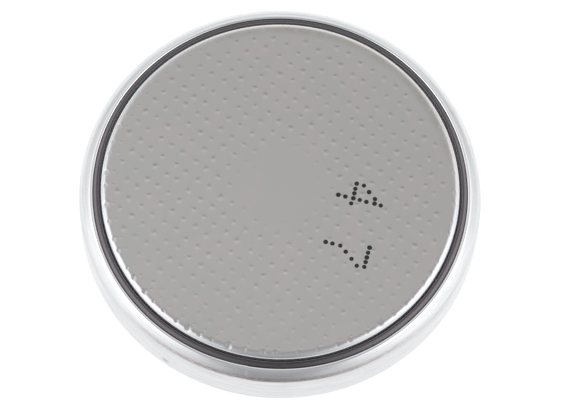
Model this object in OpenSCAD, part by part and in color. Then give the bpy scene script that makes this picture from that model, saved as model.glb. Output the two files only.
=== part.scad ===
// Lithium coin cell, 20 mm across and 3.2 mm high, standing on its positive face.
//
// A can drawn from stainless sheet is the positive pole. Its rim is rolled inward
// over a plastic gasket, which grips the brim of the negative cap: that crimp is the
// seal. Inside, from the floor up, lie the collector grid, the cathode pellet, the
// separator and the lithium disc. The origin is the centre of the positive face, and
// the cell's axis is +Z. Every round piece is a half section turned about that axis.

/* [Cell] */
// Outside diameter of the can
cell_d = 20; // [16:0.1:25]
// Height from the positive face to the negative face
cell_h = 3.2; // [2.6:0.1:5]

/* [Can] */
// Sheet thickness of the can
can_t = 0.25; // [0.15:0.01:0.3]
// Inside radius where the floor turns up into the wall
can_bend_r = 0.1; // [0.05:0.01:0.3]
// Outside radius of the shoulder, where the wall turns inward
shoulder_r = 0.5; // [0.4:0.05:0.8]
// Angle through which the shoulder turns
shoulder_sweep = 42; // [35:1:48]
// Outside radius of the crimped rim above the shoulder
crimp_r = 1.8; // [1.5:0.1:2.4]
// Width of the crimped rim, from the can's wall to its lip
crimp_w = 0.67; // [0.56:0.01:0.8]
// Height of the negative face above the lip, before the lip's edge is rounded
cap_stand = 0.33; // [0.25:0.01:0.4]
// Radius round the outer edge of the lip
lip_round_r = 0.1; // [0.05:0.01:0.12]

/* [Cap] */
// Sheet thickness of the cap
cap_t = 0.25; // [0.15:0.01:0.3]
// Inside radius round the edge of the negative face
cap_edge_r = 0.12; // [0.02:0.01:0.15]
// Depth of the brim below the negative face
neck_h = 0.9; // [0.8:0.05:1.1]
// Outside radius where the neck turns out into the brim
neck_bend_r = 0.12; // [0.05:0.01:0.15]
// Inside radius where the brim turns down into the skirt
brim_bend_r = 0.05; // [0.03:0.01:0.06]

/* [Gasket] */
// Width of the ring that shows between the lip and the cap
seal_w = 0.4; // [0.34:0.01:0.5]
// Depth of the ring's crown below the negative face
crown_drop = 0.24; // [0.2:0.01:0.3]
// Radius across the crown
crown_r = 0.55; // [0.45:0.01:0.7]
// Fall of the ring from its crown to the lip
crown_fall = 0.15; // [0.1:0.01:0.17]
// Width of the groove between the ring and the cap
groove_w = 0.06; // [0.03:0.01:0.1]
// Depth of that groove below the crown
groove_depth = 0.2; // [0.1:0.01:0.25]
// Wall between the can and the skirt of the cap
gasket_wall = 0.3; // [0.25:0.01:0.36]
// Thickness under the skirt
gasket_floor = 0.4; // [0.25:0.05:0.6]
// Wall inside the skirt
gasket_inner_wall = 0.35; // [0.25:0.05:0.5]
// Height of that inner wall above the foot of the skirt
gasket_upstand = 0.5; // [0.2:0.05:0.6]

/* [Electrodes] */
// Thickness of the lithium disc
lithium_t = 0.6; // [0.3:0.05:0.8]
// Chamfer round the edges of the cathode pellet
pellet_chamfer = 0.15; // [0.05:0.05:0.25]
// Thickness of the separator
separator_t = 0.15; // [0.1:0.01:0.25]

/* [Collector grid] */
// Sheet thickness of the grid
grid_t = 0.1; // [0.06:0.01:0.15]
// Long pitch of its diamonds
diamond_l = 1.8; // [1.6:0.1:3]
// Short pitch of its diamonds
diamond_w = 1; // [0.9:0.1:1.6]
// Width of the strands between them
strand_w = 0.25; // [0.15:0.01:0.3]
// Least width of the plain margin round the edge
grid_margin = 0.3; // [0.2:0.05:1]

/* [Fits] */
// Gap between the gasket and the two shells that it seals
seal_gap = 0.02; // [0.01:0.005:0.03]
// Radial room between the pellet and the gasket
pellet_gap = 1; // [0.5:0.1:2]
// Radial room between the lithium disc and the neck of the cap
lithium_gap = 0.8; // [0.4:0.1:2]
// Radial room between the separator and the neck of the cap
separator_gap = 0.1; // [0.05:0.01:0.2]
// Height left between the separator's rim and the cap
separator_headroom = 0.2; // [0.1:0.05:0.25]
// Distance that the grid's edge lies inside the pellet's edge
grid_inset = 1; // [0.2:0.1:2]

/* [Hidden] */
// Facets round a full turn of the cell, and round a full turn of a bend in its sheets
$fn = 96;
bend_fn = 32;
// The crimp is drawn this much inside the arcs that it runs into, so that rounding leaves no step
hair = 0.00001;

can_r = cell_d / 2;
lip_r = can_r - crimp_w;
cap_r = lip_r - seal_w;
brim_r = can_r - can_t - gasket_wall;
brim_z = cell_h - neck_h;
skirt_foot_z = can_t + gasket_floor;
gasket_bore_r = brim_r - cap_t - gasket_inner_wall;

// The shoulder runs smoothly into the crimp, so both centres lie on one line through their meeting.
// The sheet ends in the lip at crimp_sweep, and the second angle adds the seal's gap past it.
shoulder_to_crimp = (shoulder_r - crimp_r) * [cos(shoulder_sweep), sin(shoulder_sweep)];
crimp_x = can_r - shoulder_r + shoulder_to_crimp.x;
crimp_sweep = acos((lip_r - crimp_x) / crimp_r);
crimp_sweep_clear = crimp_sweep + asin(seal_gap / (crimp_r - can_t));

// Centres of the bends, in the half section: distance from the axis, then height
can_corner = (can_t + can_bend_r) * [-1, 1] + [can_r, 0];
crimp_centre = [crimp_x, cell_h - cap_stand - crimp_r * sin(crimp_sweep)];
shoulder_centre = crimp_centre - shoulder_to_crimp;
cap_edge = [cap_r, cell_h] - (cap_t + cap_edge_r) * [1, 1];
neck_bend = [cap_r, brim_z] + neck_bend_r * [1, 1];
brim_bend = [brim_r, brim_z] - (cap_t + brim_bend_r) * [1, 1];
crown_centre = [
    lip_r - sqrt(crown_r ^ 2 - (crown_r - crown_fall) ^ 2),
    cell_h - crown_drop - crown_r,
];

// The stack stands on the can's floor and reaches the cap: the pellet takes what the others leave
grid_z = can_t;
pellet_z = grid_z + grid_t;
lithium_z = cell_h - cap_t - lithium_t;
separator_z = lithium_z - separator_t;
pellet_h = separator_z - pellet_z;
pellet_r = gasket_bore_r - pellet_gap;
grid_r = pellet_r - grid_inset;
lithium_r = cap_r - cap_t - lithium_gap;
separator_r = cap_r - cap_t - separator_gap;
separator_h = separator_t + lithium_t - separator_headroom;

can_colour = [0.86, 0.87, 0.87];
cap_colour = [0.66, 0.655, 0.65];
gasket_colour = [0.29, 0.27, 0.29];
grid_colour = [0.62, 0.63, 0.64];
pellet_colour = [0.10, 0.10, 0.105];
separator_colour = [0.93, 0.93, 0.91];
lithium_colour = [0.74, 0.76, 0.78];

// Rectangle between two opposite corners
module block(low, high) {
    polygon([low, [high.x, low.y], high, [low.x, high.y]]);
}

// Part of the plane between two angles that are less than 180 degrees apart, out past radius r
module wedge(r, from, to) {
    middle = (from + to) / 2;
    reach = 2 * r / cos((to - from) / 2);
    polygon([
        [0, 0],
        2 * r * [cos(from), sin(from)],
        reach * [cos(middle), sin(middle)],
        2 * r * [cos(to), sin(to)],
    ]);
}

// Slice of a disc round a centre, between two angles
module slice(centre, r, from, to) {
    translate(centre)
        intersection() {
            circle(r, $fn = bend_fn);
            wedge(r, from, to);
        }
}

// Moves what it holds to the centre of the crimp, by way of the shoulder's centre
module about_the_crimp() {
    translate(shoulder_centre)
        translate(shoulder_to_crimp)
            children();
}

// Half section of all that the can's outer surface encloses, grown outward all round
module can_outline(grow) {
    corner_r = can_t + can_bend_r + grow;
    polygon([
        [0, -grow],
        [can_corner.x, -grow],
        can_corner,
        [can_r + grow, can_corner.y],
        [can_r + grow, shoulder_centre.y],
        shoulder_centre,
        [shoulder_centre.x, shoulder_centre.y + shoulder_r + grow],
        [crimp_centre.x, crimp_centre.y + crimp_r + grow],
        [0, crimp_centre.y + crimp_r + grow],
    ]);
    slice(can_corner, corner_r, 270, 360);
    slice(shoulder_centre, shoulder_r + grow, 0, 90);
    about_the_crimp()
        slice([0, 0], crimp_r + grow - hair, shoulder_sweep, 90);
}

// Half section of all that lies under the cap's outer surface, down to the can's floor, grown likewise
module cap_outline(grow) {
    difference() {
        union() {
            polygon([
                [0, 0],
                [brim_r + grow, 0],
                [brim_r + grow, brim_bend.y],
                brim_bend,
                [brim_bend.x, brim_z + grow],
                [neck_bend.x, brim_z + grow],
                neck_bend,
                [cap_r + grow, neck_bend.y],
                [cap_r + grow, cap_edge.y],
                cap_edge,
                [cap_edge.x, cell_h + grow],
                [0, cell_h + grow],
            ]);
            slice(brim_bend, cap_t + brim_bend_r + grow, 0, 90);
            slice(cap_edge, cap_t + cap_edge_r + grow, 0, 90);
        }
        slice(neck_bend, neck_bend_r - grow, 180, 270);
    }
}

// What is cut off the crimp at the lip: all that lies past it, and the outer edge of the cut end.
// It is drawn in a frame turned so that the cut lies along X, with the sheet below.
module lip_cut() {
    reach = crimp_r - lip_round_r;
    slant = asin(lip_round_r / reach);
    about_the_crimp()
        rotate(crimp_sweep) {
            block([0, 0], 2 * crimp_r * [1, 1]);
            translate([reach * cos(slant), -lip_round_r])
                difference() {
                    wedge(lip_round_r, -slant, 90);
                    circle(lip_round_r, $fn = bend_fn);
                }
        }
}

// The can: floor, wall, shoulder and crimp, cut off square to the sheet at the lip
module positive_can() {
    color(can_colour)
        rotate_extrude()
            difference() {
                can_outline(0);
                can_outline(-can_t);
                block([0, crimp_centre.y], [crimp_centre.x, crimp_centre.y + 2 * crimp_r]);
                lip_cut();
            }
}

// The cap: face, rounded edge, neck, brim and skirt, open below
module negative_cap() {
    color(cap_colour)
        rotate_extrude()
            intersection() {
                difference() {
                    cap_outline(0);
                    cap_outline(-cap_t);
                }
                block([0, skirt_foot_z], [can_r, cell_h]);
            }
}

// The gasket: a channel that holds the skirt, and the crowned ring squeezed out between lip and cap
module gasket() {
    slot_z = skirt_foot_z - seal_gap;
    groove_foot_z = cell_h - crown_drop - groove_depth;
    color(gasket_colour)
        rotate_extrude() {
            difference() {
                union() {
                    can_outline(-can_t - seal_gap);
                    intersection() {
                        translate(crown_centre)
                            circle(crown_r, $fn = bend_fn);
                        about_the_crimp()
                            wedge(crimp_r, crimp_sweep_clear, 180);
                    }
                }
                cap_outline(seal_gap);
                block([0, groove_foot_z], [cap_r + seal_gap + groove_w, cell_h]);
            }
            block([gasket_bore_r, can_t + seal_gap], [brim_r + seal_gap, slot_z]);
            block([gasket_bore_r, slot_z], [brim_r - cap_t - seal_gap, slot_z + gasket_upstand]);
        }
}

// Expanded-metal sheet, punched to a disc: staggered diamonds, each wholly inside the margin
module collector_grid() {
    half = [diamond_l, diamond_w] / 2;
    opening = half * (1 - strand_w / 2 * norm(half) / (half.x * half.y));
    columns = ceil(grid_r / diamond_l);
    rows = ceil(2 * grid_r / diamond_w);
    color(grid_colour)
        translate([0, 0, grid_z])
            linear_extrude(grid_t)
                difference() {
                    circle(grid_r);
                    for (row = [-rows:rows], column = [-columns:columns]) {
                        stagger = row % 2 == 0 ? 0 : half.x;
                        at = [column * diamond_l + stagger, row * half.y];
                        if (norm(at) + opening.x < grid_r - grid_margin)
                            translate(at)
                                polygon([
                                    [opening.x, 0],
                                    [0, opening.y],
                                    [-opening.x, 0],
                                    [0, -opening.y],
                                ]);
                    }
                }
}

// Pressed disc of manganese dioxide, with both edges chamfered
module cathode_pellet() {
    color(pellet_colour)
        translate([0, 0, pellet_z])
            rotate_extrude()
                polygon([
                    [0, 0],
                    [pellet_r - pellet_chamfer, 0],
                    [pellet_r, pellet_chamfer],
                    [pellet_r, pellet_h - pellet_chamfer],
                    [pellet_r - pellet_chamfer, pellet_h],
                    [0, pellet_h],
                ]);
}

// Non-woven dish, with its rim turned up round the lithium disc
module separator() {
    color(separator_colour)
        translate([0, 0, separator_z])
            rotate_extrude() {
                block([0, 0], [separator_r, separator_t]);
                block([separator_r - separator_t, 0], [separator_r, separator_h]);
            }
}

module lithium_disc() {
    color(lithium_colour)
        translate([0, 0, lithium_z])
            cylinder(lithium_t, lithium_r, lithium_r);
}

positive_can();
collector_grid();
cathode_pellet();
separator();
lithium_disc();
gasket();
negative_cap();
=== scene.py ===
import math
import random

import bpy
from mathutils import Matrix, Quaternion, Vector, noise
from mathutils.geometry import delaunay_2d_cdt


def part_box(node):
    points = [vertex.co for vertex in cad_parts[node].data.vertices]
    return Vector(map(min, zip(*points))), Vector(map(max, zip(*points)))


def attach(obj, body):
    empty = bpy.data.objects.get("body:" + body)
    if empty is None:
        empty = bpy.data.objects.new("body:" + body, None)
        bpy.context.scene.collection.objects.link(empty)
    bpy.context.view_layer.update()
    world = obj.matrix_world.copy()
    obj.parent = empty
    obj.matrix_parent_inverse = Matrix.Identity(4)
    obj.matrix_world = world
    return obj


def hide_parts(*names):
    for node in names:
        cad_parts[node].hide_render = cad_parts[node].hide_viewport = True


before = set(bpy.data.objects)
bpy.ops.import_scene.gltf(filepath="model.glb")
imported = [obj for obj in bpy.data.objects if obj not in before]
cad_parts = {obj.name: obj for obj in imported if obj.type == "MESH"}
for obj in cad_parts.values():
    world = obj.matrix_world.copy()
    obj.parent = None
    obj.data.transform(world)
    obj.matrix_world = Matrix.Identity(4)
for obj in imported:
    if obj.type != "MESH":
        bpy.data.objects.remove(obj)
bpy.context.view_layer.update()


# ---------------------------------------------------------------- can
# The positive pole: a cup deep drawn from nickel-plated stainless sheet, which holds
# everything else. Its rim is rolled inward last, over the gasket, and that crimp is
# what keeps the cell closed. It is one closed skin here, inside and out.

mm = 0.001
um = 0.001 * mm
sheet_t = 0.25 * mm
_, can_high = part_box("positive_can")
cap_low, cap_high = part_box("negative_cap")
can_r = can_high.x
# Directions in a half section, in degrees.
outward = 0
upward = 90
inward = 180
downward = 270
full_turn = 360
quarter_turn = 90


def at_angle(centre, radius, degrees):
    """The point of a half section that lies at that distance and angle from a centre."""
    angle = math.radians(degrees)
    return (centre[0] + radius * math.cos(angle), centre[1] + radius * math.sin(angle))


# The wall turns through a tight shoulder into a wide arc, the crimp, which ends in the lip.
can_corner_r = 0.35 * mm
can_corner = (can_r - can_corner_r, can_corner_r)
shoulder_r = 0.50 * mm
shoulder_sweep = 42
crimp_r = 1.80 * mm
crimp_w = 0.67 * mm
cap_stand = 0.33 * mm
lip_r = can_r - crimp_w
crimp_x = at_angle((can_r - shoulder_r, 0), shoulder_r - crimp_r, shoulder_sweep)[0]
crimp_sweep = math.degrees(math.acos((lip_r - crimp_x) / crimp_r))
crimp_z = cap_high.z - cap_stand - crimp_r * math.sin(math.radians(crimp_sweep))
crimp_centre = (crimp_x, crimp_z)
shoulder_centre = at_angle(crimp_centre, crimp_r - shoulder_r, shoulder_sweep)

# The sheared edge of the sheet is worn round where the rolling tool ran along it.
lip_round_r = 0.14 * mm
lip_turn = math.degrees(math.asin(lip_round_r / (crimp_r - lip_round_r)))
lip_centre = at_angle(crimp_centre, crimp_r - lip_round_r, crimp_sweep - lip_turn)

# Rolling leaves the rim a few microns out of true, in waves and in fine wrinkles.
rolled_from_z = 1.5 * mm
wave_depth = 6 * um
wave_length = 0.9 * mm
wrinkle_depth = 2.5 * um
wrinkle_length = 0.22 * mm
# The rolling tool left a small step where it lifted off, which fades away round the rim.
step_turn = math.radians(262.9)
step_depth = 14 * um
step_w = math.radians(1.0)
step_fades = math.radians(16)
# How finely the can is drawn: round its axis, then along each stretch of its section.
can_steps = 1000
floor_steps = 8
corner_steps = 10
wall_steps = 10
shoulder_steps = 12
crimp_steps = 14
lip_steps = 9
hidden_steps = 6
hidden_corner_steps = 4
# Edges sharper than this stay sharp, in degrees.
sharp_from = 35

# Nickel is bright and nearly grey. Along the strained shoulder a dull, slightly brown painted shade
# is laid on it.
nickel = (0.785, 0.785, 0.79, 1)
nickel_shade = (0.66, 0.68, 0.715, 1)
painted_shoulder_shade = (0.56, 0.52, 0.51, 1)
nickel_bright = (0.97, 0.97, 0.975, 1)
nickel_smudge = (0.36, 0.42, 0.50, 1)
tool_mark_l = 2.2 * mm
tool_mark_w = 0.07 * mm
tool_mark_depth = 1.5 * um
tool_mark_noise = (4.0, 0.6)
mottle_size = 1.1 * mm
mottle_noise = (5.0, 0.6)
streaks_at = (0.42, 0.62)
streak_most = 1.5
# Nearly all of a noise lies between these. Each pair named matt is the roughness at the two.
most_of_noise = (0.3, 0.7)
nickel_matt = (0.17, 0.27)
lip_polish = 0.13
# The sheared end below the lip was never rolled, and stays rough.
sheared_roughness = 0.50
ragged_l = 0.30 * mm
ragged_w = 0.11 * mm
ragged_depth = 10 * um
torn_at = (0.35, 0.55)
torn_least = 0.45
# The strained line runs above the shoulder. Its dull brown tint is painted shade, and it is fainter
# away from the front.
strain_rise = 0.365 * mm
strain_z = shoulder_centre[1] + strain_rise
strain_w = 0.115 * mm
strain_core = strain_w / 4
strain_and_shade_fades = (-9.0 * mm, -5.5 * mm)
strain_and_shade_least = 0.08
# A fingertip left one small smudge low on the wall.
smudge_turn = math.radians(238)
smudge_z = 0.9 * mm
smudge_r = 0.34 * mm


def bend(centre, radius, start, end, steps):
    """Points round a bend of a half section, from one angle to another."""
    return [at_angle(centre, radius, start + (end - start) * i / steps) for i in range(steps + 1)]


def straight(start, end, steps):
    """Points between two points of a half section, without the two themselves."""
    return [
        tuple(a + (b - a) * i / steps for a, b in zip(start, end))
        for i in range(1, steps)
    ]


def turned(section, steps, out_of_true=lambda angle, radius, height: 0):
    """The points and faces of a half section turned about the cell's axis. The section is listed
    anticlockwise, and a point on the axis becomes a single vertex."""
    points, faces, rings = [], [], []
    for radius, height in section:
        first = len(points)
        if radius == 0:
            points.append((0, 0, height))
            rings.append([first] * steps)
            continue
        for step in range(steps):
            angle = math.tau * step / steps
            here = radius - out_of_true(angle, radius, height)
            points.append((here * math.cos(angle), here * math.sin(angle), height))
        rings.append(list(range(first, first + steps)))
    for ring, following in zip(rings, rings[1:] + rings[:1]):
        for step in range(steps):
            beside = (step + 1) % steps
            corners = [ring[step], ring[beside], following[beside], following[step]]
            face = list(dict.fromkeys(corners))
            if len(face) > 2:
                faces.append(face)
    return points, faces


def piece(name, points, faces, edge=sharp_from):
    """A mesh object that is smooth apart from edges sharper than so many degrees."""
    mesh = bpy.data.meshes.new(name)
    mesh.from_pydata(points, [], faces)
    mesh.polygons.foreach_set("use_smooth", [True] * len(mesh.polygons))
    mesh.set_sharp_from_angle(angle=math.radians(edge))
    made = bpy.data.objects.new(name, mesh)
    bpy.context.scene.collection.objects.link(made)
    return made


class Nodes:
    """A tree of nodes, each fed by numbers or by other nodes' outputs."""

    def __init__(self, tree):
        self.tree = tree
        self.nodes = tree.nodes

    def feed(self, socket, value):
        if isinstance(value, bpy.types.NodeSocket):
            self.tree.links.new(value, socket)
        else:
            socket.default_value = value

    def add(self, kind, *values, **settings):
        """A new node. The values go to its sockets in order, and None leaves one as it is."""
        node = self.nodes.new(kind)
        for setting, value in settings.items():
            setattr(node, setting, value)
        for socket, value in zip(node.inputs, values):
            if value is not None:
                self.feed(socket, value)
        return node

    def math(self, operation, *values):
        return self.add("ShaderNodeMath", *values, operation=operation).outputs[0]

    def vector(self, operation, *values):
        return self.add("ShaderNodeVectorMath", *values, operation=operation)

    def between(self, value, low, high, at_low=0.0, at_high=1.0):
        """A number that goes smoothly from one to the other as value goes from low to high."""
        node = self.add("ShaderNodeMapRange", value, low, high, at_low, at_high)
        node.interpolation_type = "SMOOTHSTEP"
        return node.outputs["Result"]

    def blend(self, share, first, second):
        """A colour between two, by a share from 0 to 1."""
        node = self.add("ShaderNodeMix", share, data_type="RGBA")
        sockets = {socket.identifier: socket for socket in [*node.inputs, *node.outputs]}
        self.feed(sockets["A_Color"], first)
        self.feed(sockets["B_Color"], second)
        return sockets["Result_Color"]


class Finish(Nodes):
    """A material that is built up from nodes."""

    def __init__(self, name, **uniform):
        self.material = bpy.data.materials.new(name)
        self.material.use_nodes = True
        super().__init__(self.material.node_tree)
        self.shader = self.nodes["Principled BSDF"]
        for socket, value in uniform.items():
            self.shader.inputs[socket].default_value = value

    def place(self):
        """Where the surface is, in metres in the cell's own frame."""
        return self.add("ShaderNodeTexCoord").outputs["Object"]

    def along(self, axis):
        """How far along one axis the surface is."""
        return self.add("ShaderNodeSeparateXYZ", self.place()).outputs[axis]

    def flat(self):
        """Where the surface is, seen along the cell's axis."""
        return self.vector("MULTIPLY", self.place(), (1, 1, 0)).outputs[0]

    def away(self):
        """How far the surface is from the cell's axis."""
        return self.vector("LENGTH", self.flat()).outputs["Value"]

    def near(self, spot, radius):
        """1 at a spot, fading to 0 at that distance from it."""
        gap = self.vector("DISTANCE", self.place(), spot).outputs["Value"]
        return self.between(gap, 0.0, radius, 1.0, 0.0)

    def grain(self, place, size, detail=3.0, roughness=0.5):
        """Noise from 0 to 1, whose grains have about that size."""
        node = self.add("ShaderNodeTexNoise")
        self.feed(node.inputs["Vector"], place)
        node.inputs["Scale"].default_value = 1 / size
        node.inputs["Detail"].default_value = detail
        node.inputs["Roughness"].default_value = roughness
        return node.outputs["Fac"]

    def round_the_axis(self, along, across):
        """A place that is stretched round the cell's axis, so that noise of size 1 there makes
        streaks so long and so wide."""
        rim = self.vector("NORMALIZE", self.flat()).outputs[0]
        spread = self.add("ShaderNodeVectorMath", rim, operation="SCALE")
        spread.inputs["Scale"].default_value = can_r / along
        lift = self.math("SUBTRACT", self.along("Z"), self.away())
        up = self.add("ShaderNodeCombineXYZ", 0.0, 0.0, self.math("DIVIDE", lift, across))
        return self.vector("ADD", spread.outputs[0], up.outputs[0]).outputs[0]

    def relief(self, *layers):
        """Bumps of the given heights in metres, laid one over another."""
        normal = None
        for height, depth in layers:
            node = self.add("ShaderNodeBump")
            node.inputs["Strength"].default_value = 1.0
            node.inputs["Distance"].default_value = depth
            self.feed(node.inputs["Height"], height)
            if normal is not None:
                self.feed(node.inputs["Normal"], normal)
            normal = node.outputs[0]
        self.feed(self.shader.inputs["Normal"], normal)

    def colour(self, value):
        self.feed(self.shader.inputs["Base Color"], value)

    def dullness(self, value):
        self.feed(self.shader.inputs["Roughness"], value)


def can_section():
    """The can's half section: floor, corner, wall, shoulder, crimp and lip, and back inside."""
    wall_foot = (can_r, can_corner_r)
    wall_top = (can_r, shoulder_centre[1])
    lip_from = crimp_sweep - lip_turn
    return (
        [(0, 0)]
        + straight((0, 0), (can_corner[0], 0), floor_steps)
        + bend(can_corner, can_corner_r, downward, full_turn, corner_steps)
        + straight(wall_foot, wall_top, wall_steps)
        + bend(shoulder_centre, shoulder_r, outward, shoulder_sweep, shoulder_steps)
        + bend(crimp_centre, crimp_r, shoulder_sweep, lip_from, crimp_steps)[1:]
        + bend(lip_centre, lip_round_r, lip_from, crimp_sweep + quarter_turn, lip_steps)[1:]
        + bend(crimp_centre, crimp_r - sheet_t, crimp_sweep, shoulder_sweep, hidden_steps)
        + bend(shoulder_centre, shoulder_r - sheet_t, shoulder_sweep, outward, hidden_steps)[1:]
        + bend(can_corner, can_corner_r - sheet_t, full_turn, downward, hidden_corner_steps)
        + [(0, sheet_t)]
    )


def smooth(share):
    """Eases from 0 to 1."""
    share = min(max(share, 0), 1)
    return share * share * (3 - 2 * share)


def rolled(angle, radius, height):
    """How far the rolled rim lies inside its true round. The wall below it is true."""
    share = (height - rolled_from_z) / (shoulder_centre[1] - rolled_from_z)
    if share <= 0 or radius < lip_r - sheet_t:
        return 0
    here = Vector((can_r * math.cos(angle), can_r * math.sin(angle), height))
    wave = wave_depth * (1 + noise.noise(here / wave_length)) / 2
    wrinkle = wrinkle_depth * (1 + noise.noise(here / wrinkle_length)) / 2
    before = (step_turn - angle) % math.tau
    step = step_depth * smooth(before / step_w) * (1 - smooth(before / step_fades))
    return min(share, 1) * (wave + wrinkle + step)


def can_steel():
    steel = Finish("can_steel", Metallic=1.0)
    tool_marks = steel.grain(steel.round_the_axis(tool_mark_l, tool_mark_w), 1.0, *tool_mark_noise)
    mottle = steel.grain(steel.place(), mottle_size, *mottle_noise)
    ragged = steel.grain(steel.round_the_axis(ragged_l, ragged_w), 1.0)
    height = steel.along("Z")
    bent = steel.between(height, strain_z - strain_w, strain_z - strain_core)
    past = steel.between(height, strain_z + strain_core, strain_z + strain_w, 1.0, 0.0)
    in_front = steel.between(steel.along("Y"), *strain_and_shade_fades, 1.0, strain_and_shade_least)
    torn = steel.math("MULTIPLY", in_front, steel.between(ragged, *torn_at, torn_least, 1.0))
    strain_and_shade = steel.math("MULTIPLY", steel.math("MULTIPLY", bent, past), torn)
    smudge_at = Quaternion((0, 0, 1), smudge_turn) @ Vector((can_r, 0, smudge_z))
    streaks = steel.math("MULTIPLY", steel.between(tool_marks, *streaks_at), mottle)
    tint = steel.blend(steel.math("MULTIPLY", streaks, streak_most), nickel, nickel_shade)
    # Painted shade: the line above the shoulder is tinted dull brown, darkest at the front.
    tint = steel.blend(strain_and_shade, tint, painted_shoulder_shade)
    tint = steel.blend(steel.near(smudge_at, smudge_r), tint, nickel_smudge)
    at_lip = steel.between(steel.away(), lip_centre[0], lip_centre[0] + lip_round_r, 1.0, 0.0)
    steel.colour(steel.blend(at_lip, tint, nickel_bright))
    rough = steel.between(tool_marks, *most_of_noise, *nickel_matt)
    rough = steel.math("SUBTRACT", rough, steel.math("MULTIPLY", at_lip, lip_polish))
    below = steel.between(height, lip_centre[1] - lip_round_r / 2, lip_centre[1], 1.0, 0.0)
    sheared = steel.math("MULTIPLY", at_lip, below)
    steel.dullness(steel.between(sheared, 0.0, 1.0, rough, sheared_roughness))
    strained_skin = steel.math("MULTIPLY", ragged, strain_and_shade)
    steel.relief((tool_marks, tool_mark_depth), (strained_skin, ragged_depth))
    return steel.material


can = piece("positive_can_shell", *turned(can_section(), can_steps, rolled))
can.data.materials.append(can_steel())
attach(can, "root")
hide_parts("positive_can")


# ---------------------------------------------------------------- collector grid
# A disc of expanded stainless sheet, laid on the can's floor before the pellet. Its
# sharp strands bite into the pellet and carry the current to the can.

strand_bright = (0.62, 0.62, 0.61, 1)
strand_stained = (0.46, 0.47, 0.49, 1)
strand_grain = 0.12 * mm
strand_grain_depth = 2 * um
strand_noise = (5.0, 0.6)
strand_matt = (0.28, 0.46)
stain_size = 1.6 * mm


def dress(node, material):
    """Gives a CAD node its finish."""
    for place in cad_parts[node].material_slots:
        place.material = material


def grid_steel():
    steel = Finish("grid_steel", Metallic=1.0)
    grain = steel.grain(steel.place(), strand_grain, *strand_noise)
    stain = steel.grain(steel.place(), stain_size)
    steel.colour(steel.blend(stain, strand_stained, strand_bright))
    steel.dullness(steel.between(grain, *most_of_noise, *strand_matt))
    steel.relief((grain, strand_grain_depth))
    return steel.material


dress("collector_grid", grid_steel())


# ---------------------------------------------------------------- cathode pellet
# Manganese dioxide with a little graphite, pressed into a disc with chamfered edges.
# It is matt, black and grainy, and the pores between the grains hold electrolyte.

oxide = (0.008, 0.008, 0.009, 1)
graphite = (0.030, 0.028, 0.027, 1)
lump_size = 0.25 * mm
lump_depth = 15 * um
lump_noise = (6.0, 0.65)
dust_size = 0.04 * mm
dust_depth = 6 * um
powder_matt = (0.72, 0.95)


def pressed_powder():
    powder = Finish("pressed_manganese_dioxide", Metallic=0.0)
    lumps = powder.grain(powder.place(), lump_size, *lump_noise)
    dust = powder.grain(powder.place(), dust_size)
    powder.colour(powder.blend(lumps, oxide, graphite))
    powder.dullness(powder.between(dust, *most_of_noise, *powder_matt))
    powder.relief((lumps, lump_depth), (dust, dust_depth))
    return powder.material


dress("cathode_pellet", pressed_powder())


# ---------------------------------------------------------------- separator
# A shallow dish of non-woven polypropylene, soaked in electrolyte. It keeps the
# lithium from the pellet, and its rim is turned up round the lithium disc.

fibre_wet = (0.66, 0.66, 0.63, 1)
fibre_white = (0.88, 0.88, 0.86, 1)
fibre_l = 0.35 * mm
fibre_depth = 20 * um
fibre_noise = (3.0, 0.6)
fibres_at = (0.4, 0.7)
fibre_matt = (0.60, 0.85)
fibres_one_way = (1, 9, 3)
fibres_other_way = (8, 1, 3)


def felted_fibre():
    felt = Finish("felted_polypropylene", Metallic=0.0)
    one_way = felt.vector("MULTIPLY", felt.place(), fibres_one_way).outputs[0]
    other_way = felt.vector("MULTIPLY", felt.place(), fibres_other_way).outputs[0]
    lying_one_way = felt.grain(one_way, fibre_l, *fibre_noise)
    lying_other_way = felt.grain(other_way, fibre_l, *fibre_noise)
    fibres = felt.math("MAXIMUM", lying_one_way, lying_other_way)
    felt.colour(felt.blend(fibres, fibre_wet, fibre_white))
    felt.dullness(felt.between(fibres, *fibres_at, *fibre_matt))
    felt.relief((fibres, fibre_depth))
    return felt.material


dress("separator", felted_fibre())


# ---------------------------------------------------------------- lithium disc
# The anode: soft lithium foil, punched to a disc and pressed against the inside of
# the cap. It is silvery where it was pressed, and dulls to grey in patches.

lithium_bright = (0.68, 0.69, 0.70, 1)
lithium_tarnished = (0.36, 0.37, 0.39, 1)
tarnish_size = 2.2 * mm
tarnish_noise = (6.0, 0.6)
tarnish_at = (0.35, 0.65)
foil_matt = (0.60, 0.38)
press_grain = 0.15 * mm
press_depth = 6 * um
press_noise = (4.0, 0.5)


def lithium_foil():
    foil = Finish("lithium_foil", Metallic=1.0)
    tarnish = foil.grain(foil.place(), tarnish_size, *tarnish_noise)
    press = foil.grain(foil.place(), press_grain, *press_noise)
    foil.colour(foil.blend(tarnish, lithium_tarnished, lithium_bright))
    foil.dullness(foil.between(tarnish, *tarnish_at, *foil_matt))
    foil.relief((press, press_depth))
    return foil.material


dress("lithium_disc", lithium_foil())


# ---------------------------------------------------------------- gasket
# One moulded ring of black polypropylene: a channel that holds the cap's skirt, with
# a lip that the crimp squeezes out into the dark ring that shows round the cap.

gasket_low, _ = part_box("gasket")
brim_r = cap_high.x
seal_w = 0.40 * mm
cap_r = lip_r - seal_w
neck_h = 0.90 * mm
brim_z = cap_high.z - neck_h

seal_gap = gasket_low.z - sheet_t
gasket_inner_wall = 0.35 * mm
gasket_upstand = 0.50 * mm
gasket_bore_r = brim_r - sheet_t - gasket_inner_wall
slot_z = cap_low.z - seal_gap

crown_r = 0.55 * mm
crown_fall = 0.15 * mm
crown_drop = 0.24 * mm
crown_x = lip_r - math.sqrt(crown_r**2 - (crown_r - crown_fall) ** 2)
crown_centre = (crown_x, cap_high.z - crown_drop - crown_r)
crimp_sweep_clear = crimp_sweep + math.degrees(math.asin(seal_gap / (crimp_r - sheet_t)))
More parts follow.
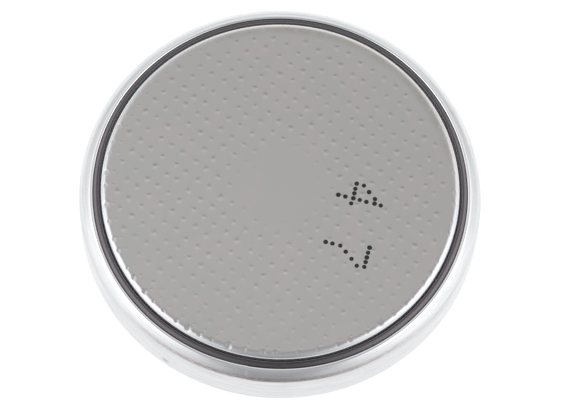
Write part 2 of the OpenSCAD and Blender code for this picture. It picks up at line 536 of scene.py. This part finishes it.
# The ring is pinched in beside the cap, which leaves a fine groove there.
groove_w = 0.06 * mm
groove_depth = 0.20 * mm
groove_r = cap_r + seal_gap + groove_w
groove_foot_z = cap_high.z - crown_drop - groove_depth
groove_edge_r = 0.03 * mm
# Its crown is narrow, and its outer side falls away, so that the can's cut end shows.
crown_w = 0.07 * mm
crown_side_x = groove_r + crown_w
crown_side_r = 0.16 * mm
crown_side_end = 38
crevice_depth = 0.12 * mm

neck_bend_r = 0.12 * mm
brim_bend_r = 0.30 * mm
neck_bend = (cap_r + neck_bend_r, brim_z + neck_bend_r)
brim_bend = (brim_r - brim_bend_r, brim_z - brim_bend_r)
# How finely it is drawn: round its axis, then along its crown, the groove and the cap's bed.
gasket_steps = 720
crown_steps = 5
crown_side_steps = 8
groove_edge_steps = 3
neck_steps = 4
brim_steps = 6

black_plastic = (0.015, 0.013, 0.016, 1)
grey_plastic = (0.029, 0.025, 0.030, 1)
plastic_sheen = (1.0, 0.96, 1.0, 1)
plastic_ior = 1.75
plastic_matt = (0.24, 0.38)
# The groove beside the cap is painted paler, a painted light that lifts the shade in it.
painted_groove_light = (0.24, 0.225, 0.24, 1)
painted_groove_light_w = 0.05 * mm
# Beside the lip it is painted pale, mostly at the cell's two sides: a painted sheen where the side
# lights reflect.
painted_side_sheen = (0.17, 0.155, 0.17, 1)
side_sheen_w = 0.09 * mm
side_sheen_fades = (2.0 * mm, 6.0 * mm)
side_sheen_least = 0.2
side_sheen_full_x = 7.5 * mm
flow_l = 1.8 * mm
flow_w = 0.11 * mm
flow_depth = 2 * um
skin_size = 0.06 * mm
skin_depth = 0.8 * um


def crown_angle(radius):
    """Where the crown's round crosses that distance from the axis, in degrees."""
    return math.degrees(math.acos((radius - crown_centre[0]) / crown_r))


def gasket_section():
    """The gasket's half section, from the foot of its bore round to the crown and down again."""
    outer = sheet_t + seal_gap
    crevice = at_angle(crimp_centre, crimp_r - crevice_depth, crimp_sweep_clear)
    edge_x = groove_r + groove_edge_r
    turn = crown_angle(crown_side_x)
    crown = bend(crown_centre, crown_r, turn, crown_angle(edge_x), crown_steps)
    side_centre = at_angle(crown_centre, crown_r - crown_side_r, turn)
    side = bend(side_centre, crown_side_r, crown_side_end, turn, crown_side_steps)
    groove_edge = (edge_x, crown[-1][1] - groove_edge_r)
    skirt_out = brim_r + seal_gap
    skirt_in = brim_r - sheet_t - seal_gap
    return (
        [(gasket_bore_r, gasket_low.z)]
        + bend(can_corner, can_corner_r - outer, downward, full_turn, hidden_corner_steps)
        + bend(shoulder_centre, shoulder_r - outer, outward, shoulder_sweep, hidden_steps)
        + bend(crimp_centre, crimp_r - outer, shoulder_sweep, crimp_sweep_clear, hidden_steps)[1:]
        + [crevice]
        + side
        + crown[1:]
        + bend(groove_edge, groove_edge_r, upward, inward, groove_edge_steps)[1:]
        + [(groove_r, groove_foot_z), (cap_r + seal_gap, groove_foot_z)]
        + bend(neck_bend, neck_bend_r - seal_gap, inward, downward, neck_steps)
        + bend(brim_bend, brim_bend_r + seal_gap, upward, outward, brim_steps)
        + [(skirt_out, slot_z), (skirt_in, slot_z)]
        + [(skirt_in, slot_z + gasket_upstand), (gasket_bore_r, slot_z + gasket_upstand)]
    )


def moulded_black():
    plastic = Finish("moulded_polypropylene", Metallic=0.0, IOR=plastic_ior)
    plastic.shader.inputs["Specular Tint"].default_value = plastic_sheen
    flow = plastic.grain(plastic.round_the_axis(flow_l, flow_w), 1.0)
    skin = plastic.grain(plastic.place(), skin_size)
    in_groove = plastic.between(plastic.away(), groove_r, groove_r + painted_groove_light_w, 1.0, 0.0)
    beside_lip = plastic.between(plastic.away(), crown_side_x, crown_side_x + side_sheen_w)
    sideways = plastic.math("ABSOLUTE", plastic.along("X"))
    side_sheen = plastic.between(sideways, 0.0, side_sheen_full_x, side_sheen_least, 1.0)
    not_far = plastic.between(plastic.along("Y"), *side_sheen_fades, 1.0, 0.0)
    side_sheen = plastic.math("MULTIPLY", plastic.math("MULTIPLY", side_sheen, not_far), beside_lip)
    tint = plastic.blend(flow, black_plastic, grey_plastic)
    # Painted sheen: paler beside the lip at the cell's two sides, less towards the far side.
    tint = plastic.blend(side_sheen, tint, painted_side_sheen)
    # Painted light: the groove beside the cap is painted paler.
    plastic.colour(plastic.blend(in_groove, tint, painted_groove_light))
    plastic.dullness(plastic.between(flow, *most_of_noise, *plastic_matt))
    plastic.relief((flow, flow_depth), (skin, skin_depth))
    return plastic.material


gasket = piece("gasket_ring", *turned(gasket_section(), gasket_steps))
gasket.data.materials.append(moulded_black())
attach(gasket, "root")
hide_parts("gasket")


# ---------------------------------------------------------------- cap
# The negative pole: a shallow lid pressed from stainless sheet, with a neck, a brim
# and a turned-down skirt that the gasket grips. A knurled punch leaves rows of small
# pits across its face, so that a contact or a welded tag bites there.

cap_edge_r = sheet_t + 0.12 * mm
cap_edge = (cap_r - cap_edge_r, cap_high.z - cap_edge_r)
# The face lies a hair low, which leaves room for the ink that is printed on it.
ink_t = 3 * um
face_drop = 2 * ink_t
face_z = cap_high.z - face_drop

pit_pitch = 0.705 * mm
pit_rows = math.radians(56.1)
pit_r = 0.21 * mm
pit_sizes = (0.75, 1.05)
pit_depth = 17 * um
pit_strays = 0.065
# The pits are deeper towards the far side, and vary in outline.
pit_lean = (0.0, 0.9)
lean_varies = 0.3
pit_lobe_count = 3
pit_lobes = 0.10
# Points that land near the edge slip over it and nick it, and leave a small dent beside it.
nick_reach = 0.42 * mm
nick_slip = 0.08 * mm
nick_from_r = cap_edge[0] - nick_reach
nick_at_r = cap_edge[0] + nick_slip
nick_r = 0.21 * mm
nick_depth = 40 * um
nick_sizes = (0.45, 1.15)
# The punch stood a little off centre, so the nicks are deepest on one side.
nick_towards = Vector((-0.88, -0.48))
nick_least = 0.45
dent_at = Vector((0.17 * mm, 0.02 * mm))
dent_r = 0.10 * mm
dent_depth = 8 * um
punch_seed = 5
# How hard each of the punch's points bites, and how many bite so.
bites = {0.65: 3, 0.85: 5, 1.1: 4, 1.35: 1}
# The punch is slightly dished: it bites at the rim and leaves the middle plain.
plain_r = 1.6 * mm
bite_r = 3.2 * mm
# It also bites a little less towards the near side.
near_bite = 0.4
pit_rings = 5
pit_points = 13
# One pit in five has a small chip on its near side, which glints.
chips_share = 1 / 5
chip_r = 0.05 * mm
chip_depth = 16 * um
chip_rings = 3
chip_points = 8

# The net of the face: rings out to a seam, where it meets the turned part of the cap.
rim_points = 1080
edge_rings = 15
edge_split = 45
seam_r = at_angle(cap_edge, cap_edge_r, edge_split)[0]
rim_w = 0.22 * mm
rim_start_r = cap_edge[0] - rim_w
# The pits' points keep clear of the seam, and points nearer than the next would be one.
seam_clear = 0.02 * mm
one_spot = 1e-9
cap_sharp_from = 50
# How finely the rest of the cap is drawn, of which only the edge shows.
cap_edge_steps = 12
cap_neck_steps = 3
cap_brim_steps = 4
cap_inside_steps = 2

# Brushed steel with a faint pinkish and greenish cloud. The rounded edge is burnished.
steel_green = (0.654, 0.654, 0.641, 1)
steel_pink = (0.690, 0.654, 0.654, 1)
steel_burnished = (0.82, 0.82, 0.825, 1)
steel_lined = (0.73, 0.75, 0.79, 1)
steel_yellowed = (0.85, 0.80, 0.785, 1)
painted_far_shade = (0.50, 0.48, 0.455, 1)
cloud_size = 2.0 * mm
cloud_noise = (5.0, 0.65)
clouds_at = (0.35, 0.65)
satin_size = 0.07 * mm
satin_depth = 0.8 * um
satin_noise = (3.0, 0.6)
satin_matt = (0.28, 0.34)
burnished_by = 0.11
burnished_at = (cap_edge[0] + 0.05 * mm, cap_edge[0] + 0.20 * mm)
lines_at = (0.35, 0.60)
edge_line_l = 1.6 * mm
edge_line_w = 0.045 * mm
edge_line_depth = 2.2 * um
# The face is painted darker towards its far side, in patches most along the far edge: painted shade.
far_side_towards = (0.42, 0.91, 0)
shade_haze_most = 0.42
shade_haze_half = 8 * mm
far_from = 2.0 * mm
far_to = 7.5 * mm
far_shade_edge_r = 7.9 * mm
far_shade_patches_at = (0.30, 0.62)
far_shade_least = 0.55


def pit_depth_at(spot, bite):
    """How deep a pit at that spot is."""
    tilt = 1 - (1 - near_bite) * smooth(-spot.y / cap_r)
    return pit_depth * bite * tilt * smooth((spot.length - plain_r) / (bite_r - plain_r))


def punch_marks(chance):
    """The marks on the face and the nicks in its edge. A mark is its centre, radius, depth, lean and
    turn, and a nick its centre, radius and depth. The pits stand in a square lattice that is
    turned, with the middle of the face left plain, and some have a chip."""
    marks, nicks = [], []
    reach = math.ceil(cap_r / pit_pitch)
    turn = Quaternion((0, 0, 1), pit_rows).to_matrix().to_2x2()
    for row in range(-reach, reach + 1):
        for column in range(-reach, reach + 1):
            slip = Vector((chance.gauss(0, pit_strays), chance.gauss(0, pit_strays)))
            lean = Vector([chance.gauss(mean, lean_varies) for mean in pit_lean])
            bite = chance.choices(list(bites), list(bites.values()))[0]
            radius = pit_r * chance.uniform(*pit_sizes)
            lobes_at = chance.uniform(0, math.tau)
            chipped = chance.random() < chips_share
            spot = turn @ (Vector((column, row)) + slip) * pit_pitch
            depth = pit_depth_at(spot, bite)
            if depth <= 0 or spot.length > cap_edge[0] + pit_r:
                continue
            if spot.length > nick_from_r:
                size = chance.uniform(*nick_sizes)
                rim = spot.normalized()
                side = nick_least + (1 - nick_least) * smooth(rim.dot(nick_towards))
                nicks.append((rim * nick_at_r, nick_r * size, nick_depth * size * side))
                spot, radius, depth = rim * (nick_at_r - nick_r) + dent_at, dent_r, dent_depth
                chipped = False
            marks.append((spot, radius, depth, lean, lobes_at))
            if chipped and depth > pit_depth / 2:
                chip = spot - Vector((slip.x * pit_pitch, radius / 2))
                marks.append((chip, chip_r, chip_depth, Vector((0, 0)), lobes_at))
    return marks, nicks


marks, nicks = punch_marks(random.Random(punch_seed))


def square_of(spot):
    """The square of the face that a place lies in."""
    return (round(spot.x / pit_pitch), round(spot.y / pit_pitch))


def marks_by_square():
    """The marks by the square of the face that each lies in, so that a point need try only a few."""
    squares = {}
    for mark in marks:
        squares.setdefault(square_of(mark[0]), []).append(mark)
    return squares


squares = marks_by_square()


def marks_near(point):
    """The marks in the point's own square and the eight round it."""
    column, row = square_of(point)
    for across in (column - 1, column, column + 1):
        for along in (row - 1, row, row + 1):
            yield from squares.get((across, along), ())


def face_height(point):
    """Height of the cap's face at a place: flat, falling away round the edge, less any mark."""
    height = face_z
    past = point.length - cap_edge[0]
    if past > 0:
        height -= cap_edge_r - math.sqrt(cap_edge_r**2 - past**2)
    if point.length > nick_from_r:
        for spot, radius, depth in nicks:
            share = (point - spot).length / radius
            if share < 1:
                height -= depth * (1 + math.cos(math.pi * share)) / 2
    for spot, radius, depth, lean, lobes_at in marks_near(point):
        offset = (point - spot) / radius
        lobes = pit_lobe_count * math.atan2(offset.y, offset.x) + lobes_at
        share = offset.length * (1 + pit_lobes * (1 + math.sin(lobes)))
        if share < 1:
            height -= depth * (1 + lean.dot(offset)) * (1 + math.cos(math.pi * share)) / 2
    return height


def on_circle(radius, step, count):
    """One of so many points that stand evenly on a circle."""
    angle = math.tau * step / count
    return Vector((radius * math.cos(angle), radius * math.sin(angle)))


def cap_face():
    """The cap's face out to the seam, as a net of triangles that is fine in the pits and round
    the edge. The seam's own points come first, in order."""
    spots = [on_circle(seam_r, step, rim_points) for step in range(rim_points)]
    for ring in range(edge_rings):
        radius = rim_start_r + (seam_r - rim_start_r) * ring / edge_rings
        for step in range(rim_points):
            spot = on_circle(radius, step, rim_points)
            if all((spot - mark[0]).length > mark[1] for mark in marks_near(spot)):
                spots.append(spot)
    for centre, radius, *_ in marks:
        spots.append(centre)
        rings, count = (chip_rings, chip_points) if radius == chip_r else (pit_rings, pit_points)
        # One ring more than the mark has keeps the face flat up to its edge.
        for ring in range(1, rings + 2):
            for step in range(count):
                spot = centre + on_circle(radius * ring / rings, step + ring % 2 / 2, count)
                if spot.length < seam_r - seam_clear:
                    spots.append(spot)
    points, _, faces, *_ = delaunay_2d_cdt(spots, [], [], 0, one_spot)
    return [(point.x, point.y, face_height(point)) for point in points], faces


def cap_wall_section():
    """The rest of the cap's half section: from the face's seam over the edge, down the neck, out
    along the brim, down the skirt and back underneath to the axis."""
    edge = bend(cap_edge, cap_edge_r, edge_split, outward, cap_edge_steps)
    return (
        [(radius, height - face_drop) for radius, height in edge]
        + bend(neck_bend, neck_bend_r, inward, downward, cap_neck_steps)
        + bend(brim_bend, brim_bend_r, upward, outward, cap_brim_steps)
        + [(brim_r, cap_low.z), (brim_r - sheet_t, cap_low.z)]
        + bend(brim_bend, brim_bend_r - sheet_t, outward, upward, cap_inside_steps)
        + bend(neck_bend, neck_bend_r + sheet_t, downward, inward, cap_neck_steps)
        + bend(cap_edge, cap_edge_r - sheet_t, outward, upward, cap_inside_steps)
        + [(0, cap_high.z - sheet_t)]
    )


def cap_piece():
    """The face's net and the turned part, joined along the seam that they share."""
    points, faces = cap_face()
    wall_points, wall_faces = turned([(0, 0)] + cap_wall_section(), rim_points)
    # The turned part starts with a point on the axis, which isn't used, and then the seam.
    own = 1 + rim_points
    shift = len(points) - own
    for face in wall_faces:
        if 0 not in face:
            faces.append([index - 1 if index < own else index + shift for index in face])
    return piece("negative_cap_shell", points + wall_points[own:], faces, cap_sharp_from)


def pressed_steel():
    steel = Finish("cap_steel", Metallic=1.0)
    away = steel.away()
    burnished = steel.between(away, *burnished_at)
    lines = steel.grain(steel.round_the_axis(edge_line_l, edge_line_w), 1.0)
    edge_lines = steel.math("MULTIPLY", lines, burnished)
    cloud = steel.grain(steel.place(), cloud_size, *cloud_noise)
    satin = steel.grain(steel.place(), satin_size, *satin_noise)
    towards = steel.vector("DOT_PRODUCT", steel.place(), far_side_towards).outputs["Value"]
    far = steel.between(towards, far_from, far_to)
    at_edge = steel.between(away, far_shade_edge_r, cap_edge[0])
    patchy = steel.between(cloud, *far_shade_patches_at, far_shade_least, 1.0)
    stain = steel.math("MULTIPLY", steel.math("MULTIPLY", far, at_edge), patchy)
    tint = steel.blend(steel.between(cloud, *clouds_at), steel_green, steel_pink)
    shade_haze = steel.between(towards, -shade_haze_half, shade_haze_half, 0.0, shade_haze_most)
    # Painted shade: the face darkens towards its far side, in patches along the far edge.
    tint = steel.blend(steel.math("MAXIMUM", stain, shade_haze), tint, painted_far_shade)
    edge_tint = steel.blend(steel.between(lines, *lines_at), steel_burnished, steel_lined)
    edge_tint = steel.blend(far, edge_tint, steel_yellowed)
    steel.colour(steel.blend(burnished, tint, edge_tint))
    matt = steel.between(satin, *most_of_noise, *satin_matt)
    steel.dullness(steel.math("SUBTRACT", matt, steel.math("MULTIPLY", burnished, burnished_by)))
    steel.relief((satin, satin_depth), (edge_lines, edge_line_depth))
    return steel.material


cap = cap_piece()
cap.data.materials.append(pressed_steel())
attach(cap, "root")
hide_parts("negative_cap")


# ---------------------------------------------------------------- printed digits
# Two plain digits, jetted on the cap as dots of black ink while the cells roll past
# the printer. Each dot dries as a low dome.

dot_r = 0.118 * mm
dot_strays = 0.012 * mm
dot_sizes = (0.92, 1.05)
# Each dome as rings: the share of its radius, and the share of its height.
dome = ((1.0, 0.0), (0.94, 0.6), (0.75, 0.85), (0.4, 0.97))
dot_points = 18
column_pitch = 0.264 * mm
row_pitch = 0.358 * mm
digit_pitch = 3.10 * mm
first_foot = Vector((3.06 * mm, 0.50 * mm))
reads_along = Vector((-0.215, -0.977))
stands_along = Vector((0.977, -0.215))
ink_thin = (0.024, 0.020, 0.025, 1)
ink_thick = (0.009, 0.007, 0.010, 1)
ink_grain = 0.08 * mm
ink_grain_depth = 0.8 * um
ink_matt = (0.45, 0.60)
ink_ior = 1.45
ink_seed = 11

four = (
    "...#.",
    "..##.",
    ".#.#.",
    "#..#.",
    "#####",
    "...#.",
    "...#.",
)
seven = (
    "#####",
    "....#",
    "...#.",
    "..#..",
    ".#...",
    ".#...",
    ".#...",
)


def dot_places():
    """Where the dots of the two digits fall."""
    for place, digit in enumerate((four, seven)):
        foot = first_foot + place * digit_pitch * reads_along
        for row, line in enumerate(reversed(digit)):
            for column, mark in enumerate(line):
                if mark == "#":
                    yield foot + column * column_pitch * reads_along + row * row_pitch * stands_along


def ink_dome(centre, radius, first):
    """One dried dot: rings that rise to a flat top, on a flat foot."""
    points, faces = [], []
    for share, height in dome:
        for step in range(dot_points):
            spot = centre + on_circle(radius * share, step, dot_points)
            points.append((spot.x, spot.y, face_z + ink_t * height))
    for ring in range(len(dome) - 1):
        low = first + ring * dot_points
        high = low + dot_points
        for step in range(dot_points):
            beside = (step + 1) % dot_points
            faces.append((low + step, low + beside, high + beside, high + step))
    top = first + (len(dome) - 1) * dot_points
    faces.append([top + step for step in range(dot_points)])
    faces.append([first + step for step in reversed(range(dot_points))])
    return points, faces


def ink_dots(chance):
    points, faces = [], []
    for centre in dot_places():
        centre += Vector((chance.gauss(0, dot_strays), chance.gauss(0, dot_strays)))
        more_points, more_faces = ink_dome(centre, dot_r * chance.uniform(*dot_sizes), len(points))
        points += more_points
        faces += more_faces
    return points, faces


def jetted_ink():
    ink = Finish("black_ink", Metallic=0.0, IOR=ink_ior)
    spread = ink.grain(ink.place(), ink_grain)
    ink.colour(ink.blend(spread, ink_thick, ink_thin))
    ink.dullness(ink.between(spread, *most_of_noise, *ink_matt))
    ink.relief((spread, ink_grain_depth))
    return ink.material


digits = piece("printed_digits", *ink_dots(random.Random(ink_seed)))
digits.data.materials.append(jetted_ink())
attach(digits, "root")


# ---------------------------------------------------------------- floor
# A wide white table top that the cell lies on. It shows and reflects as white, and
# it keeps a little of the cell's shadow.

floor_half = 20.0
floor_white = (0.93, 0.93, 0.93, 1)
floor_glow = (1.0, 1.0, 1.0, 1)
floor_glow_share = 0.90
# The light behind the cell makes the table brighter there than in front. Further back its
# reflection is dimmer, though it is seen as white all over.
floor_near_y = -9 * mm
floor_near_glow = 1.06
floor_far_y = 9 * mm
floor_far_glow = 1.24
floor_back_y = (17 * mm, 27 * mm)
floor_back_loses = 0.32


def white_floor():
    table = Finish("white_table")
    paint = table.add("ShaderNodeBsdfDiffuse", floor_white)
    depth = table.along("Y")
    lit = table.between(depth, floor_near_y, floor_far_y, floor_near_glow, floor_far_glow)
    rays = table.add("ShaderNodeLightPath").outputs
    loses = table.math("MULTIPLY", rays["Is Glossy Ray"], floor_back_loses)
    back = table.between(depth, *floor_back_y, 0.0, loses)
    strength = table.math("SUBTRACT", lit, back)
    glow = table.add("ShaderNodeEmission", floor_glow, strength)
    seen = table.math("MAXIMUM", rays["Is Camera Ray"], rays["Is Glossy Ray"])
    seen = table.math("MAXIMUM", seen, rays["Is Transmission Ray"])
    share = table.math("MULTIPLY", seen, floor_glow_share)
    top = table.add("ShaderNodeMixShader", share, paint.outputs[0], glow.outputs[0])
    clear = table.add("ShaderNodeBsdfTransparent")
    under = table.add("ShaderNodeNewGeometry").outputs["Backfacing"]
    both = table.add("ShaderNodeMixShader", under, top.outputs[0], clear.outputs[0])
    table.feed(table.nodes["Material Output"].inputs["Surface"], both.outputs[0])
    table.nodes.remove(table.shader)
    return table.material


corners = [(-1, -1), (1, -1), (1, 1), (-1, 1)]
floor = piece("floor", [(x * floor_half, y * floor_half, 0) for x, y in corners], [(0, 1, 2, 3)])
floor.data.materials.append(white_floor())


# ---------------------------------------------------------------- light
# A tent of white cloth stands round the cell. Its two side walls glow. Its front, behind
# the camera, is dim and a little warm, and its back is lighter and slightly blue.

tent_glow = (1.50, 1.50, 1.50, 1)
# Seen straight on, all of it is plain white.
backdrop_white = (1.0, 1.0, 1.0, 1)
# How much the walls glow, by the direction along the table: -1 is -Y, 0 is to a side, 1 is +Y.
tent_walls = (
    (-1.00, 0.02),
    (-0.94, 0.20),
    (-0.74, 0.64),
    (-0.47, 0.95),
    (-0.17, 1.00),
    (0.12, 0.97),
    (0.38, 0.44),
    (0.57, 0.06),
    (0.74, 0.00),
)
# They reach further back the higher they are.
wall_reach = 2.0
# Keeps the tent from dividing by nothing, straight overhead and at the horizon.
least_level = 0.001
# The walls are dimmer at their foot, and end overhead where a direction is this steep.
foot_glow = 0.75
foot_z = 0.28
full_glow_z = 0.62
top_of_wall = (0.30, 0.62)
# The rest of the tent by direction, from -Y behind the camera to +Y beyond the cell.
tent_cloth = (
    (-1.00, (0.30, 0.285, 0.28, 1)),
    (-0.95, (0.33, 0.315, 0.315, 1)),
    (-0.89, (0.38, 0.375, 0.38, 1)),
    (-0.82, (0.43, 0.43, 0.44, 1)),
    (-0.70, (0.45, 0.455, 0.47, 1)),
    (-0.30, (0.44, 0.44, 0.45, 1)),
    (0.05, (0.36, 0.36, 0.37, 1)),
    (0.22, (0.42, 0.42, 0.425, 1)),
    (0.36, (0.66, 0.655, 0.65, 1)),
    (0.50, (0.73, 0.73, 0.73, 1)),
    (0.61, (0.69, 0.70, 0.70, 1)),
    (0.73, (0.66, 0.68, 0.685, 1)),
    (0.86, (0.79, 0.835, 0.84, 1)),
    (1.00, (0.89, 0.94, 0.945, 1)),
)


def ramp(nodes, value, stops):
    """A colour for each value from -1 to 1, in steps along a ramp."""
    share = nodes.add("ShaderNodeMapRange", value, -1.0, 1.0, 0.0, 1.0).outputs["Result"]
    node = nodes.add("ShaderNodeValToRGB", share)
    steps = node.color_ramp.elements
    while len(steps) < len(stops):
        steps.new(1.0)
    for step, (along, colour) in zip(steps, stops):
        step.position = (along + 1) / 2
        step.color = colour
    return node.outputs["Color"]


def light_tent():
    world = bpy.data.worlds.new("light_tent")
    world.use_nodes = True
    tent = Nodes(world.node_tree)
    towards = tent.add("ShaderNodeTexCoord").outputs["Generated"]
    x, y, z = tent.add("ShaderNodeSeparateXYZ", towards).outputs
    level = tent.vector("LENGTH", tent.vector("MULTIPLY", towards, (1, 1, 0)).outputs[0])
    back = tent.math("MULTIPLY", tent.math("MAXIMUM", y, 0.0), tent.math("MAXIMUM", z, 0.0))
    reach = tent.math("MULTIPLY", back, wall_reach)
    reach = tent.math("ADD", reach, tent.math("MAXIMUM", level.outputs["Value"], least_level))
    turn = tent.math("DIVIDE", y, reach)
    walls = ramp(tent, turn, [(along, (glow, glow, glow, 1)) for along, glow in tent_walls])
    rise = tent.math("MULTIPLY", back, wall_reach)
    rise = tent.math("ADD", tent.math("MAXIMUM", z, least_level), rise)
    lean = tent.math("DIVIDE", tent.math("ABSOLUTE", x), rise)
    share = tent.math("MULTIPLY", walls, tent.between(z, foot_z, full_glow_z, foot_glow, 1.0))
    share = tent.math("MULTIPLY", share, tent.between(lean, *top_of_wall))
    light = tent.blend(share, ramp(tent, y, tent_cloth), tent_glow)
    seen = tent.add("ShaderNodeLightPath").outputs["Is Camera Ray"]
    tent.feed(tent.nodes["Background"].inputs["Color"], tent.blend(seen, light, backdrop_white))
    return world


bpy.context.scene.world = light_tent()
bpy.context.scene.view_settings.view_transform = "Standard"


# ---------------------------------------------------------------- camera
# It looks steeply down from the near side through a long lens, turned a little about
# its own line of sight.

camera_lift = math.radians(69.05)
camera_turn = math.radians(2.415)
camera_away = 0.180
camera_aim = Vector((0.046 * mm, 0.183 * mm, 0))

lens = bpy.data.cameras.new("camera")
lens.sensor_width = 36.0
lens.lens = 229.8
lens.clip_start = 0.01
camera = bpy.data.objects.new("camera", lens)
bpy.context.scene.collection.objects.link(camera)
back = Vector((0, -math.cos(camera_lift), math.sin(camera_lift)))
camera.location = back * camera_away
camera.rotation_mode = "QUATERNION"
towards = (camera_aim - camera.location).to_track_quat("-Z", "Y")
camera.rotation_quaternion = towards @ Quaternion((0, 0, 1), camera_turn)
bpy.context.scene.camera = camera
